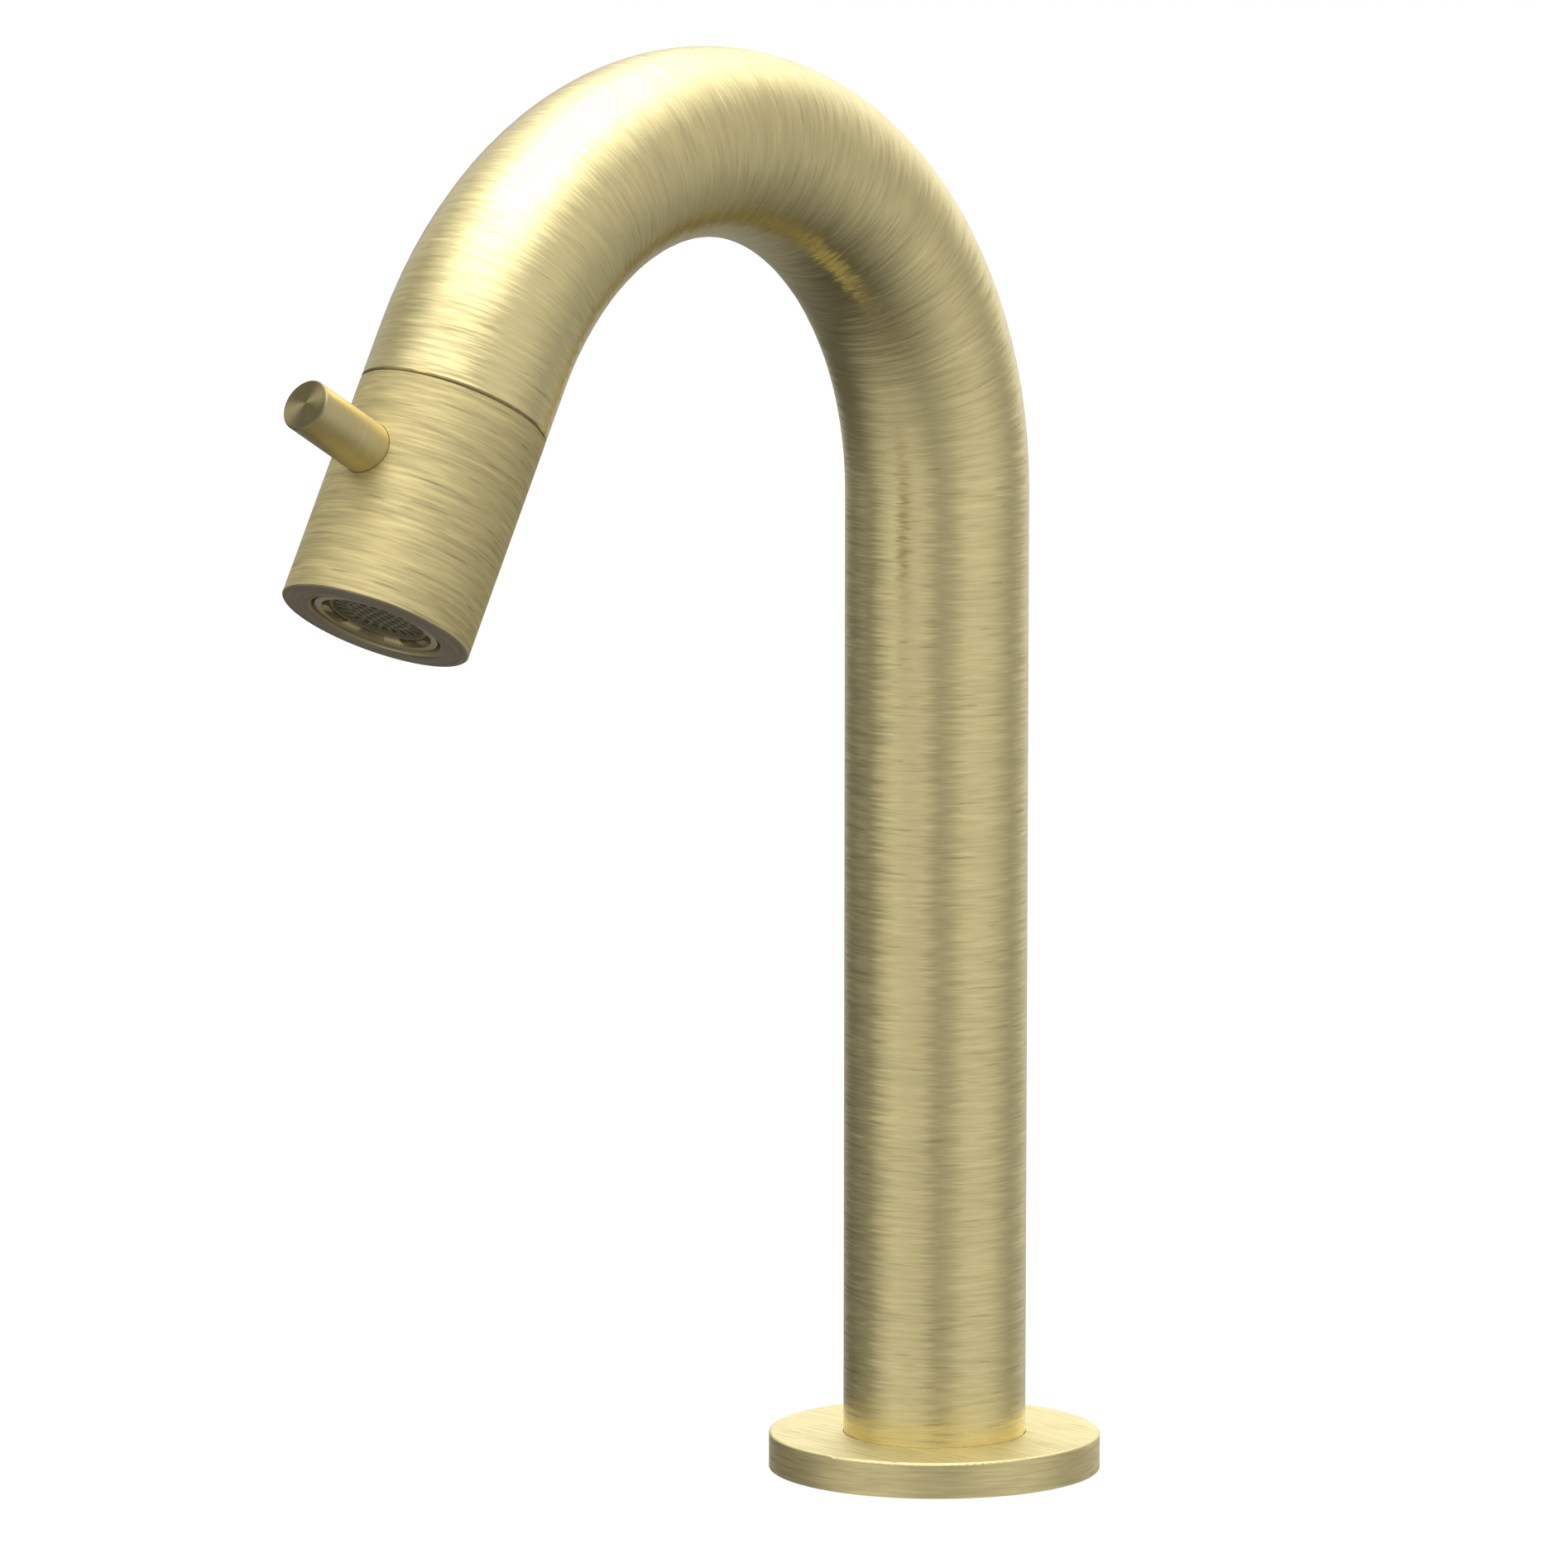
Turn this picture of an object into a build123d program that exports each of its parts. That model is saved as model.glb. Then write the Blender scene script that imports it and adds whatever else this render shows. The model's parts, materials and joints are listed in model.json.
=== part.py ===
from build123d import *
from math import cos, radians, sin
import os

# Swan-neck washbasin tap whose valve and lever sit in the end of the spout.
# Millimetres. The origin is on the riser's axis at the deck that the tap stands on, +Z is up and
# the spout reaches towards -Y. The tap is symmetrical about the plane X = 0 when it is closed.

# ---- Driving dimensions --------------------------------------------------------------------------

# Spout tube
TUBE_R = 11.0
TUBE_BORE_R = 9.5
RISER_TOP = 118.3
BEND_R = 43.5
BEND_ANGLE = 150.9
TAIL_LENGTH = 6.8
TUBE_EDGE = 0.15

# Foot and deck fixing
ROSETTE_R = 20.0
ROSETTE_HEIGHT = 4.3
ROSETTE_FLOOR = 2.0
ROSETTE_EDGE = 0.3
SEAL_INNER_R = 14.0
SEAL_OUTER_R = 17.5
SEAL_HEIGHT = 1.5
DECK_THICKNESS = 20.0
SHANK_R = 20.955 / 2
SHANK_BORE_R = 6.0
SHANK_BOTTOM = -50.0
SPIGOT_TOP = 18.0
RELIEF_DEPTH = 0.8
RELIEF_WIDTH = 1.5
WASHER_R = 17.0
RUBBER_WASHER_HEIGHT = 3.0
METAL_WASHER_HEIGHT = 1.5
NUT_ACROSS_FLATS = 27.0
NUT_HEIGHT = 8.0

# Head that turns on the end of the spout, measured along its own axis from the tube's end
HEAD_R = 11.0
HEAD_END = 26.7
SEAM_GAP = 0.25
SLEEVE_EDGE = 0.08
GLIDE_INNER_R = 8.75
GLIDE_OUTER_R = 10.25
GLIDE_DEPTH = 0.9
JOURNAL_R = 8.0
JOURNAL_BORE_R = 8.08
WEB_START = 12.8
WEB_END = 15.4
WEB_SEAL_DEPTH = 1.5
WEB_SEAL_R = 6.1
WEB_SEAL_SECTION_R = 0.72
OUTLET_R = 7.7
OUTLET_EDGE = 0.15

# Lever
LEVER_R = 3.05
LEVER_TIP = 22.06
LEVER_SEAT = 10.3
LEVER_AT = 9.8
LEVER_EDGE = 0.15
STUD_R = 2.0
STUD_HOLE_R = 2.03
STUD_END = 3.7

# Valve
CAVITY_R = 6.6
DISC_R = 6.5
NECK_R = 4.5
NECK_BORE_R = 3.0
SEAT_LIP_END = -5.2
FIXED_DISC_TOP = -3.8
DISC_MEETING = -1.6
DISC_GAP = 0.02
SPINDLE_TOP = 0.4
SPINDLE_SHOULDER = 3.1
BODY_SHOULDER = 3.4
BODY_END = 7.3
SPINDLE_END = 15.2
PORT_INNER_R = 1.8
PORT_OUTER_R = 5.2
PORT_SWEEP = 76.0
LUG_WIDTH = 1.6
LUG_R = 7.1
DOG_WIDTH = 1.9
DOG_INNER_R = 5.6
DOG_HEIGHT = 1.0
RING_GROOVES = (4.8, 6.4)
RING_GROOVE_WIDTH = 1.1
RING_GROOVE_R = 3.7

# Aerator, an M16.5 cartridge sunk in the outlet
AERATOR_R = 7.6
AERATOR_START = 16.4
AERATOR_LEDGE = 24.6
AERATOR_RIM_R = 7.25
AERATOR_RIM_END = 26.35
AERATOR_BORE_R = 6.35
RIM_BORE_R = 6.5
KEY_COUNT = 8
KEY_SWEEP = 19.0
KEY_INNER_R = 5.8
KEY_END = 25.95
INSERT_R = 6.3
NOSE_R = 5.7
NOSE_END = 25.75
NOSE_WALL = 0.35
STRAINER_HEIGHT = 1.0
REGULATOR_POST_START = 17.55
REGULATOR_START = 18.3
REGULATOR_HEIGHT = 0.8
JET_PLATE_START = 19.15
JET_PLATE_HEIGHT = 1.1
SCREEN_STARTS = (20.6, 21.2)
SCREEN_HEIGHT = 0.25
GRID_START = 22.2

# Clearances
CONTACT = 0.02
BRAZE = 0.05
RUNNING = 0.05
SLIP = 0.1

# ---- Planes and axes -----------------------------------------------------------------------------

bend = radians(BEND_ANGLE)
head_direction = Vector(0, -sin(bend), cos(bend))
lever_direction = Vector(0, cos(bend), sin(bend))
bend_end = Vector(0, BEND_R * (cos(bend) - 1), RISER_TOP + BEND_R * sin(bend))
tube_end = bend_end + head_direction * TAIL_LENGTH

# Looking along the head, with local X across the tap and local Y towards the lever
HEAD = Plane(origin=tube_end, x_dir=(1, 0, 0), z_dir=head_direction)
# Through the head's axis: X is the radius and Y is the distance from the tube's end
HEAD_SECTION = Plane(origin=tube_end, x_dir=lever_direction, z_dir=(1, 0, 0))
HEAD_AXIS = Axis(tube_end, head_direction)
# Through the riser's axis: X is the radius and Y is the height
FOOT_SECTION = Plane.XZ
# Across the lever, measured outward from the head's axis
LEVER = Plane(origin=tube_end + head_direction * LEVER_AT, x_dir=(1, 0, 0), z_dir=lever_direction)

os.makedirs("parts", exist_ok=True)


def save(name, label):
    """Label a finished piece and write it to its own STEP file."""
    name.part.label = label
    export_step(name.part, f"parts/{label}.step")


class Sector(BaseSketchObject):
    """A slice of a ring between two radii, as wide as sweep about the angle in its middle."""

    def __init__(self, inner, outer, middle, sweep, mode=Mode.ADD):
        start = middle - sweep / 2
        with BuildSketch() as slice_of_ring:
            with BuildLine():
                far = CenterArc((0, 0), outer, start, sweep)
                near = CenterArc((0, 0), inner, start, sweep)
                Line(near @ 0, far @ 0)
                Line(near @ 1, far @ 1)
            make_face()
        super().__init__(obj=slice_of_ring.sketch, rotation=0, align=None, mode=mode)


# ---- Spout ---------------------------------------------------------------------------------------


def make_spout_tube():
    """The riser, the swan-neck bend and the short straight tail, drawn from one brass tube."""
    with BuildPart() as spout_tube:
        with BuildLine(Plane.YZ):
            riser = Line((0, ROSETTE_FLOOR), (0, RISER_TOP))
            swan_neck = JernArc(start=riser @ 1, tangent=riser % 1, radius=BEND_R, arc_size=BEND_ANGLE)
            Line(swan_neck @ 1, (swan_neck @ 1) + (swan_neck % 1) * TAIL_LENGTH)
        with BuildSketch(Plane.XY.offset(ROSETTE_FLOOR)):
            Circle(TUBE_R)
            Circle(TUBE_BORE_R, mode=Mode.SUBTRACT)
        sweep()
        end_face = spout_tube.faces().sort_by_distance(tube_end)[0]
        chamfer(end_face.edges().sort_by(SortBy.RADIUS)[-1], TUBE_EDGE)
    save(spout_tube, "spout_tube")


# ---- Foot and deck fixing ------------------------------------------------------------------------


def make_rosette():
    """Round cover plate: the tube's end stands in its counterbore and a seal fills its underside."""
    with BuildPart() as rosette:
        with BuildSketch(Plane.XY):
            Circle(ROSETTE_R)
            Circle(SHANK_R + SLIP, mode=Mode.SUBTRACT)
        extrude(amount=ROSETTE_HEIGHT)
        fillet(rosette.edges().group_by(Axis.Z)[-1].sort_by(SortBy.RADIUS)[-1], ROSETTE_EDGE)
        with BuildSketch(Plane.XY.offset(ROSETTE_FLOOR)):
            Circle(TUBE_R + RUNNING)
        extrude(amount=ROSETTE_HEIGHT, mode=Mode.SUBTRACT)
        with BuildSketch(Plane.XY):
            Circle(SEAL_OUTER_R)
            Circle(SEAL_INNER_R, mode=Mode.SUBTRACT)
        extrude(amount=SEAL_HEIGHT, mode=Mode.SUBTRACT)
    save(rosette, "rosette")


def make_rosette_seal():
    """Flat ring in the rosette's underside that keeps splashed water out of the tap hole."""
    with BuildPart() as rosette_seal:
        with BuildSketch(Plane.XY):
            Circle(SEAL_OUTER_R - SLIP)
            Circle(SEAL_INNER_R + SLIP, mode=Mode.SUBTRACT)
        extrude(amount=SEAL_HEIGHT)
    save(rosette_seal, "rosette_seal")


def make_shank():
    """G 1/2 shank, brazed into the riser, with its inlet thread below a relief groove."""
    nut_bottom = -DECK_THICKNESS - RUBBER_WASHER_HEIGHT - METAL_WASHER_HEIGHT - NUT_HEIGHT
    land_below_nut = 0.5
    relief_top = nut_bottom - land_below_nut
    relief_bottom = relief_top - RELIEF_WIDTH
    spigot_r = TUBE_BORE_R - BRAZE
    lead_in = 1.0
    with BuildPart() as mounting_shank:
        with BuildSketch(FOOT_SECTION):
            Polygon(
                (SHANK_BORE_R, SHANK_BOTTOM),
                (SHANK_R - lead_in, SHANK_BOTTOM),
                (SHANK_R, SHANK_BOTTOM + lead_in),
                (SHANK_R, relief_bottom),
                (SHANK_R - RELIEF_DEPTH, relief_bottom),
                (SHANK_R - RELIEF_DEPTH, relief_top),
                (SHANK_R, relief_top),
                (SHANK_R, ROSETTE_FLOOR),
                (spigot_r, ROSETTE_FLOOR),
                (spigot_r, SPIGOT_TOP - lead_in),
                (spigot_r - lead_in, SPIGOT_TOP),
                (SHANK_BORE_R, SPIGOT_TOP),
                align=None,
            )
        revolve(axis=Axis.Z)
    save(mounting_shank, "mounting_shank")


def make_deck_washers():
    """Rubber washer against the deck's underside and the metal washer that spreads the nut's load."""
    rubber_top = -DECK_THICKNESS
    metal_top = rubber_top - RUBBER_WASHER_HEIGHT
    rubber_edge = 0.5
    metal_edge = 0.2
    with BuildPart() as rubber_washer:
        with BuildSketch(Plane.XY.offset(rubber_top)):
            Circle(WASHER_R)
            Circle(SHANK_R + SLIP, mode=Mode.SUBTRACT)
        extrude(amount=-RUBBER_WASHER_HEIGHT)
        chamfer(rubber_washer.edges().group_by(Axis.Z)[0].sort_by(SortBy.RADIUS)[-1], rubber_edge)
    save(rubber_washer, "rubber_washer")

    with BuildPart() as metal_washer:
        with BuildSketch(Plane.XY.offset(metal_top)):
            Circle(WASHER_R)
            Circle(SHANK_R + SLIP, mode=Mode.SUBTRACT)
        extrude(amount=-METAL_WASHER_HEIGHT)
        chamfer(metal_washer.edges().group_by(Axis.Z)[0].sort_by(SortBy.RADIUS)[-1], metal_edge)
    save(metal_washer, "metal_washer")


def make_locknut():
    """Hexagonal G 1/2 nut with turned corners."""
    nut_top = -DECK_THICKNESS - RUBBER_WASHER_HEIGHT - METAL_WASHER_HEIGHT
    corner_r = NUT_ACROSS_FLATS / 2 / cos(radians(30))
    turned = 1.2
    lead_in = 0.6
    with BuildPart() as locknut:
        with BuildSketch(Plane.XY.offset(nut_top)):
            RegularPolygon(radius=corner_r, side_count=6)
        extrude(amount=-NUT_HEIGHT)
        with BuildSketch(FOOT_SECTION):
            Polygon(
                (0, nut_top),
                (corner_r - turned, nut_top),
                (corner_r, nut_top - turned / 2),
                (corner_r, nut_top - NUT_HEIGHT + turned / 2),
                (corner_r - turned, nut_top - NUT_HEIGHT),
                (0, nut_top - NUT_HEIGHT),
                align=None,
            )
        revolve(axis=Axis.Z, mode=Mode.INTERSECT)
        with BuildSketch(Plane.XY.offset(nut_top)):
            Circle(SHANK_R + RUNNING)
        extrude(amount=-NUT_HEIGHT, mode=Mode.SUBTRACT)
        bore_edges = locknut.edges().filter_by(GeomType.CIRCLE).group_by(Axis.Z)[0]
        chamfer(bore_edges.sort_by(SortBy.RADIUS)[0], lead_in)
    save(locknut, "locknut")


# ---- Valve, fixed side ---------------------------------------------------------------------------


def make_cartridge_socket():
    """Threaded socket brazed into the tube's end, with the valve seat as its inner lip."""
    lip_height = 1.4
    lip_start = SEAT_LIP_END - lip_height
    lip_r = 4.8
    with BuildPart() as cartridge_socket:
        with BuildSketch(HEAD_SECTION):
            Polygon(
                (lip_r, lip_start),
                (TUBE_BORE_R - BRAZE, lip_start),
                (TUBE_BORE_R - BRAZE, 0),
                (JOURNAL_R + RUNNING, 0),
                (JOURNAL_R + RUNNING, SEAT_LIP_END),
                (lip_r, SEAT_LIP_END),
                align=None,
            )
        revolve(axis=HEAD_AXIS)
    save(cartridge_socket, "cartridge_socket")


def make_cartridge_body():
    """Screwed into the socket: it holds the discs, and the head turns on its outside."""
    body_start = SEAT_LIP_END + 2 * SLIP
    with BuildPart() as cartridge_body:
        with BuildSketch(HEAD_SECTION):
            Polygon(
                (CAVITY_R, body_start),
                (JOURNAL_R, body_start),
                (JOURNAL_R, BODY_END),
                (NECK_R + RUNNING, BODY_END),
                (NECK_R + RUNNING, BODY_SHOULDER),
                (CAVITY_R, BODY_SHOULDER),
                align=None,
            )
        revolve(axis=HEAD_AXIS)
        # keyways for the fixed disc's lugs
        with BuildSketch(HEAD.offset(body_start)):
            Rectangle(2 * (LUG_R + SLIP), LUG_WIDTH + 2 * SLIP)
        extrude(amount=DISC_MEETING - body_start, mode=Mode.SUBTRACT)
    save(cartridge_body, "cartridge_body")


def make_seat_seal():
    """Silicone ring pressed between the seat and the fixed disc."""
    with BuildPart() as seat_seal:
        with BuildSketch(HEAD.offset(SEAT_LIP_END)):
            Circle(DISC_R)
            Circle(PORT_OUTER_R, mode=Mode.SUBTRACT)
        extrude(amount=FIXED_DISC_TOP - SEAT_LIP_END)
    save(seat_seal, "seat_seal")


def make_fixed_disc():
    """Ceramic disc with two ports, held from turning by its lugs."""
    with BuildPart() as fixed_disc:
        with BuildSketch(HEAD.offset(FIXED_DISC_TOP)):
            Circle(DISC_R)
            Rectangle(2 * LUG_R, LUG_WIDTH)
            Sector(PORT_INNER_R, PORT_OUTER_R, 0, PORT_SWEEP, Mode.SUBTRACT)
            Sector(PORT_INNER_R, PORT_OUTER_R, 180, PORT_SWEEP, Mode.SUBTRACT)
        extrude(amount=DISC_MEETING - FIXED_DISC_TOP)
    save(fixed_disc, "fixed_disc")


def make_slide_washer():
    """Thin washer between the body's shoulder and the spindle's flange."""
    with BuildPart() as slide_washer:
        with BuildSketch(HEAD.offset(BODY_SHOULDER)):
            Circle(CAVITY_R - SLIP)
            Circle(NECK_R + RUNNING + SLIP, mode=Mode.SUBTRACT)
        extrude(amount=SPINDLE_SHOULDER + DISC_GAP - BODY_SHOULDER)
    save(slide_washer, "slide_washer")


# ---- Valve, turning side -------------------------------------------------------------------------


def make_moving_disc():
    """Ceramic disc whose ports stand a quarter turn from the fixed disc's while the tap is closed."""
    with BuildPart() as moving_disc:
        with BuildSketch(HEAD.offset(DISC_MEETING + DISC_GAP)):
            Circle(DISC_R)
            Sector(PORT_INNER_R, PORT_OUTER_R, 90, PORT_SWEEP, Mode.SUBTRACT)
            Sector(PORT_INNER_R, PORT_OUTER_R, 270, PORT_SWEEP, Mode.SUBTRACT)
        extrude(amount=SPINDLE_TOP - DISC_MEETING - DISC_GAP)
        # notches for the spindle's dogs
        with BuildSketch(HEAD.offset(SPINDLE_TOP - DOG_HEIGHT - SLIP)):
            with Locations((-DISC_R, 0), (DISC_R, 0)):
                Rectangle(2 * (DISC_R - DOG_INNER_R + SLIP), DOG_WIDTH + 2 * SLIP)
        extrude(amount=DOG_HEIGHT + 2 * SLIP, mode=Mode.SUBTRACT)
    save(moving_disc, "moving_disc")


def make_spindle():
    """Hollow spindle: its dogs turn the moving disc and the water runs out through its neck."""
    pocket_end = 1.9
    pocket_r = PORT_OUTER_R + SLIP
    with BuildPart() as spindle:
        with BuildSketch(HEAD_SECTION):
            Polygon(
                (pocket_r, SPINDLE_TOP),
                (DISC_R, SPINDLE_TOP),
                (DISC_R, SPINDLE_SHOULDER),
                (NECK_R, SPINDLE_SHOULDER),
                (NECK_R, SPINDLE_END),
                (NECK_BORE_R, SPINDLE_END),
                (NECK_BORE_R, pocket_end),
                (pocket_r, pocket_end),
                align=None,
            )
        revolve(axis=HEAD_AXIS)
        # grooves for the two spindle seals
        for middle in RING_GROOVES:
            with BuildSketch(HEAD.offset(middle - RING_GROOVE_WIDTH / 2)):
                Circle(JOURNAL_R)
                Circle(RING_GROOVE_R, mode=Mode.SUBTRACT)
            extrude(amount=RING_GROOVE_WIDTH, mode=Mode.SUBTRACT)
        # dogs
        with BuildSketch(HEAD.offset(SPINDLE_TOP - DOG_HEIGHT)):
            Circle(DISC_R)
            Circle(DOG_INNER_R, mode=Mode.SUBTRACT)
            Rectangle(2 * DISC_R, DOG_WIDTH, mode=Mode.INTERSECT)
        extrude(amount=DOG_HEIGHT)
        # blind pocket for the lever's stud
        with BuildSketch(LEVER.offset(STUD_END - SLIP)):
            Circle(STUD_HOLE_R)
        extrude(amount=NECK_R, mode=Mode.SUBTRACT)
    save(spindle, "spindle")


def make_spindle_seals():
    """Two O-rings at their squeezed size in the spindle's grooves."""
    middle_r = (NECK_R + RUNNING + RING_GROOVE_R) / 2
    section_r = middle_r - RING_GROOVE_R - CONTACT / 2
    with BuildPart() as spindle_seals:
        with BuildSketch(HEAD_SECTION):
            with Locations(*[(middle_r, middle) for middle in RING_GROOVES]):
                Circle(section_r)
        revolve(axis=HEAD_AXIS)
    save(spindle_seals, "spindle_seals")


def make_drive_collar():
    """Brass collar that centres the spindle's neck in the head and carries the lever's stud."""
    collar_start = BODY_END + 2 * SLIP
    collar_end = WEB_START - 2 * SLIP
    with BuildPart() as drive_collar:
        with BuildSketch(HEAD.offset(collar_start)):
            Circle(JOURNAL_BORE_R - RUNNING)
            Circle(NECK_R + RUNNING, mode=Mode.SUBTRACT)
        extrude(amount=collar_end - collar_start)
        with BuildSketch(LEVER):
            Circle(STUD_HOLE_R)
        extrude(amount=HEAD_R, mode=Mode.SUBTRACT)
    save(drive_collar, "drive_collar")


def make_head_sleeve():
    """Outer shell of the head, turned from bar, with a web between the valve and the aerator."""
    web_r = NECK_R + SLIP
    with BuildPart() as head_sleeve:
        with BuildSketch(HEAD_SECTION):
            Polygon(
                (JOURNAL_BORE_R, SEAM_GAP),
                (HEAD_R - SLEEVE_EDGE, SEAM_GAP),
                (HEAD_R, SEAM_GAP + SLEEVE_EDGE),
                (HEAD_R, HEAD_END - OUTLET_EDGE),
                (HEAD_R - OUTLET_EDGE, HEAD_END),
                (OUTLET_R + OUTLET_EDGE, HEAD_END),
                (OUTLET_R, HEAD_END - OUTLET_EDGE),
                (OUTLET_R, WEB_END),
                (web_r, WEB_END),
                (web_r, WEB_START + WEB_SEAL_DEPTH),
                (WEB_SEAL_R, WEB_START + WEB_SEAL_DEPTH),
                (WEB_SEAL_R, WEB_START),
                (JOURNAL_BORE_R, WEB_START),
                align=None,
            )
        revolve(axis=HEAD_AXIS)
        # recess for the glide ring in the face that meets the tube
        with BuildSketch(HEAD.offset(SEAM_GAP)):
            Circle(GLIDE_OUTER_R + RUNNING)
            Circle(GLIDE_INNER_R - RUNNING, mode=Mode.SUBTRACT)
        extrude(amount=GLIDE_DEPTH, mode=Mode.SUBTRACT)
        # spot face and tapped hole for the lever
        with BuildSketch(LEVER.offset(LEVER_SEAT)):
            Circle(LEVER_R + RUNNING)
        extrude(amount=HEAD_R, mode=Mode.SUBTRACT)
        with BuildSketch(LEVER):
            Circle(STUD_HOLE_R)
        extrude(amount=HEAD_R, mode=Mode.SUBTRACT)
    save(head_sleeve, "head_sleeve")


def make_lever():
    """Straight pin lever with a reduced threaded stud that locks the sleeve, collar and spindle."""
    with BuildPart() as lever_pin:
        with BuildSketch(LEVER.offset(LEVER_SEAT)):
            Circle(LEVER_R)
        extrude(amount=LEVER_TIP - LEVER_SEAT)
        tip = lever_pin.faces().sort_by(Axis(LEVER.origin, LEVER.z_dir))[-1]
        chamfer(tip.edges(), LEVER_EDGE)
        with BuildSketch(LEVER.offset(STUD_END)):
            Circle(STUD_R)
        extrude(amount=LEVER_SEAT - STUD_END)
    save(lever_pin, "lever_pin")


def make_glide_ring():
    """Plastic ring in the sleeve's end face that runs on the end of the tube."""
    with BuildPart() as glide_ring:
        with BuildSketch(HEAD.offset(CONTACT)):
            Circle(GLIDE_OUTER_R)
            Circle(GLIDE_INNER_R, mode=Mode.SUBTRACT)
        extrude(amount=SEAM_GAP + GLIDE_DEPTH - CONTACT)
    save(glide_ring, "glide_ring")


def make_outlet_seal():
    """O-ring round the spindle's end, in the sleeve's web."""
    middle_r = (NECK_R + WEB_SEAL_R) / 2
    with BuildPart() as outlet_seal:
        with BuildSketch(HEAD_SECTION):
            with Locations((middle_r, WEB_START + WEB_SEAL_DEPTH / 2)):
                Circle(WEB_SEAL_SECTION_R)
        revolve(axis=HEAD_AXIS)
    save(outlet_seal, "outlet_seal")


# ---- Aerator -------------------------------------------------------------------------------------


def make_aerator_washer():
    """Flat washer between the aerator and the sleeve's web."""
    bore_r = 5.9
    with BuildPart() as aerator_washer:
        with BuildSketch(HEAD.offset(WEB_END)):
            Circle(AERATOR_R)
            Circle(bore_r, mode=Mode.SUBTRACT)
        extrude(amount=AERATOR_START - WEB_END)
    save(aerator_washer, "aerator_washer")


def make_aerator_housing():
    """Threaded shell with a castellated rim that the aerator's key fits."""
    ledge_end = AERATOR_LEDGE + 0.4
    thread_end = AERATOR_LEDGE + 0.5
    rim_start = AERATOR_LEDGE + 0.9
    with BuildPart() as aerator_housing:
        with BuildSketch(HEAD_SECTION):
            Polygon(
                (AERATOR_BORE_R, AERATOR_START),
                (AERATOR_R, AERATOR_START),
                (AERATOR_R, thread_end),
                (AERATOR_RIM_R, rim_start),
                (AERATOR_RIM_R, AERATOR_RIM_END),
                (RIM_BORE_R, AERATOR_RIM_END),
                (RIM_BORE_R, ledge_end),
                (KEY_INNER_R, ledge_end),
                (KEY_INNER_R, AERATOR_LEDGE),
                (AERATOR_BORE_R, AERATOR_LEDGE),
                align=None,
            )
        revolve(axis=HEAD_AXIS)
        with BuildSketch(HEAD.offset(AERATOR_LEDGE)):
            for key in range(KEY_COUNT):
                Sector(KEY_INNER_R, RIM_BORE_R + 2 * SLIP, (key + 0.5) * 360 / KEY_COUNT, KEY_SWEEP)
        extrude(amount=KEY_END - AERATOR_LEDGE)
    save(aerator_housing, "aerator_housing")


def make_aerator_strainer():
    """Perforated disc that catches grit before it reaches the regulator."""
    plate_r = INSERT_R - 0.5
    wall_r = INSERT_R - 0.9
    plate_height = 0.4
    hole_pitch = 0.55
    hole_r = 0.32
    with BuildPart() as aerator_strainer:
        with BuildSketch(HEAD.offset(AERATOR_START + SLIP)):
            Circle(INSERT_R - SLIP)
            Circle(wall_r, mode=Mode.SUBTRACT)
        extrude(amount=STRAINER_HEIGHT)
        with BuildSketch(HEAD.offset(AERATOR_START + SLIP)):
            Circle(plate_r)
            with HexLocations(radius=hole_pitch, x_count=9, y_count=9):
                Circle(hole_r, mode=Mode.SUBTRACT)
            Circle(plate_r, mode=Mode.INTERSECT)
        extrude(amount=plate_height)
    save(aerator_strainer, "aerator_strainer")


def make_flow_regulator():
    """Regulator seat with slots round its post, and the rubber ring that closes on them."""
    post_r = 1.4
    slot_inner_r = 2.6
    slot_outer_r = 4.6
    slot_sweep = 14
    slot_count = 12
    ring_r = 3.2
    ring_section_r = 0.35
    with BuildPart() as flow_regulator:
        with BuildSketch(HEAD.offset(REGULATOR_START)):
            Circle(INSERT_R - SLIP)
            for slot in range(slot_count):
                Sector(slot_inner_r, slot_outer_r, slot * 360 / slot_count, slot_sweep, Mode.SUBTRACT)
        extrude(amount=REGULATOR_HEIGHT)
        with BuildSketch(HEAD.offset(REGULATOR_POST_START)):
            Circle(post_r)
        extrude(amount=REGULATOR_START - REGULATOR_POST_START)
    save(flow_regulator, "flow_regulator")

    with BuildPart() as regulator_ring:
        with BuildSketch(HEAD_SECTION):
            with Locations((ring_r, REGULATOR_START - ring_section_r - CONTACT)):
                Circle(ring_section_r)
        revolve(axis=HEAD_AXIS)
    save(regulator_ring, "regulator_ring")


def make_jet_plate():
    """Plate with a circle of small jets that break up the water."""
    jet_circle_r = 4.0
    jet_r = 0.38
    jet_count = 18
    with BuildPart() as jet_plate:
        with BuildSketch(HEAD.offset(JET_PLATE_START)):
            Circle(INSERT_R - SLIP)
            with PolarLocations(jet_circle_r, jet_count):
                Circle(jet_r, mode=Mode.SUBTRACT)
        extrude(amount=JET_PLATE_HEIGHT)
    save(jet_plate, "jet_plate")


def make_aerator_screens():
    """Two fine steel screens that mix air into the water."""
    mesh_pitch = 0.95
    mesh_opening = 0.6
    with BuildPart() as aerator_screens:
        for start in SCREEN_STARTS:
            with BuildSketch(HEAD.offset(start)):
                Circle(INSERT_R - SLIP)
                with GridLocations(mesh_pitch, mesh_pitch, 9, 9):
                    Rectangle(mesh_opening, mesh_opening, mode=Mode.SUBTRACT)
            extrude(amount=SCREEN_HEIGHT)
    save(aerator_screens, "aerator_screens")


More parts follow.
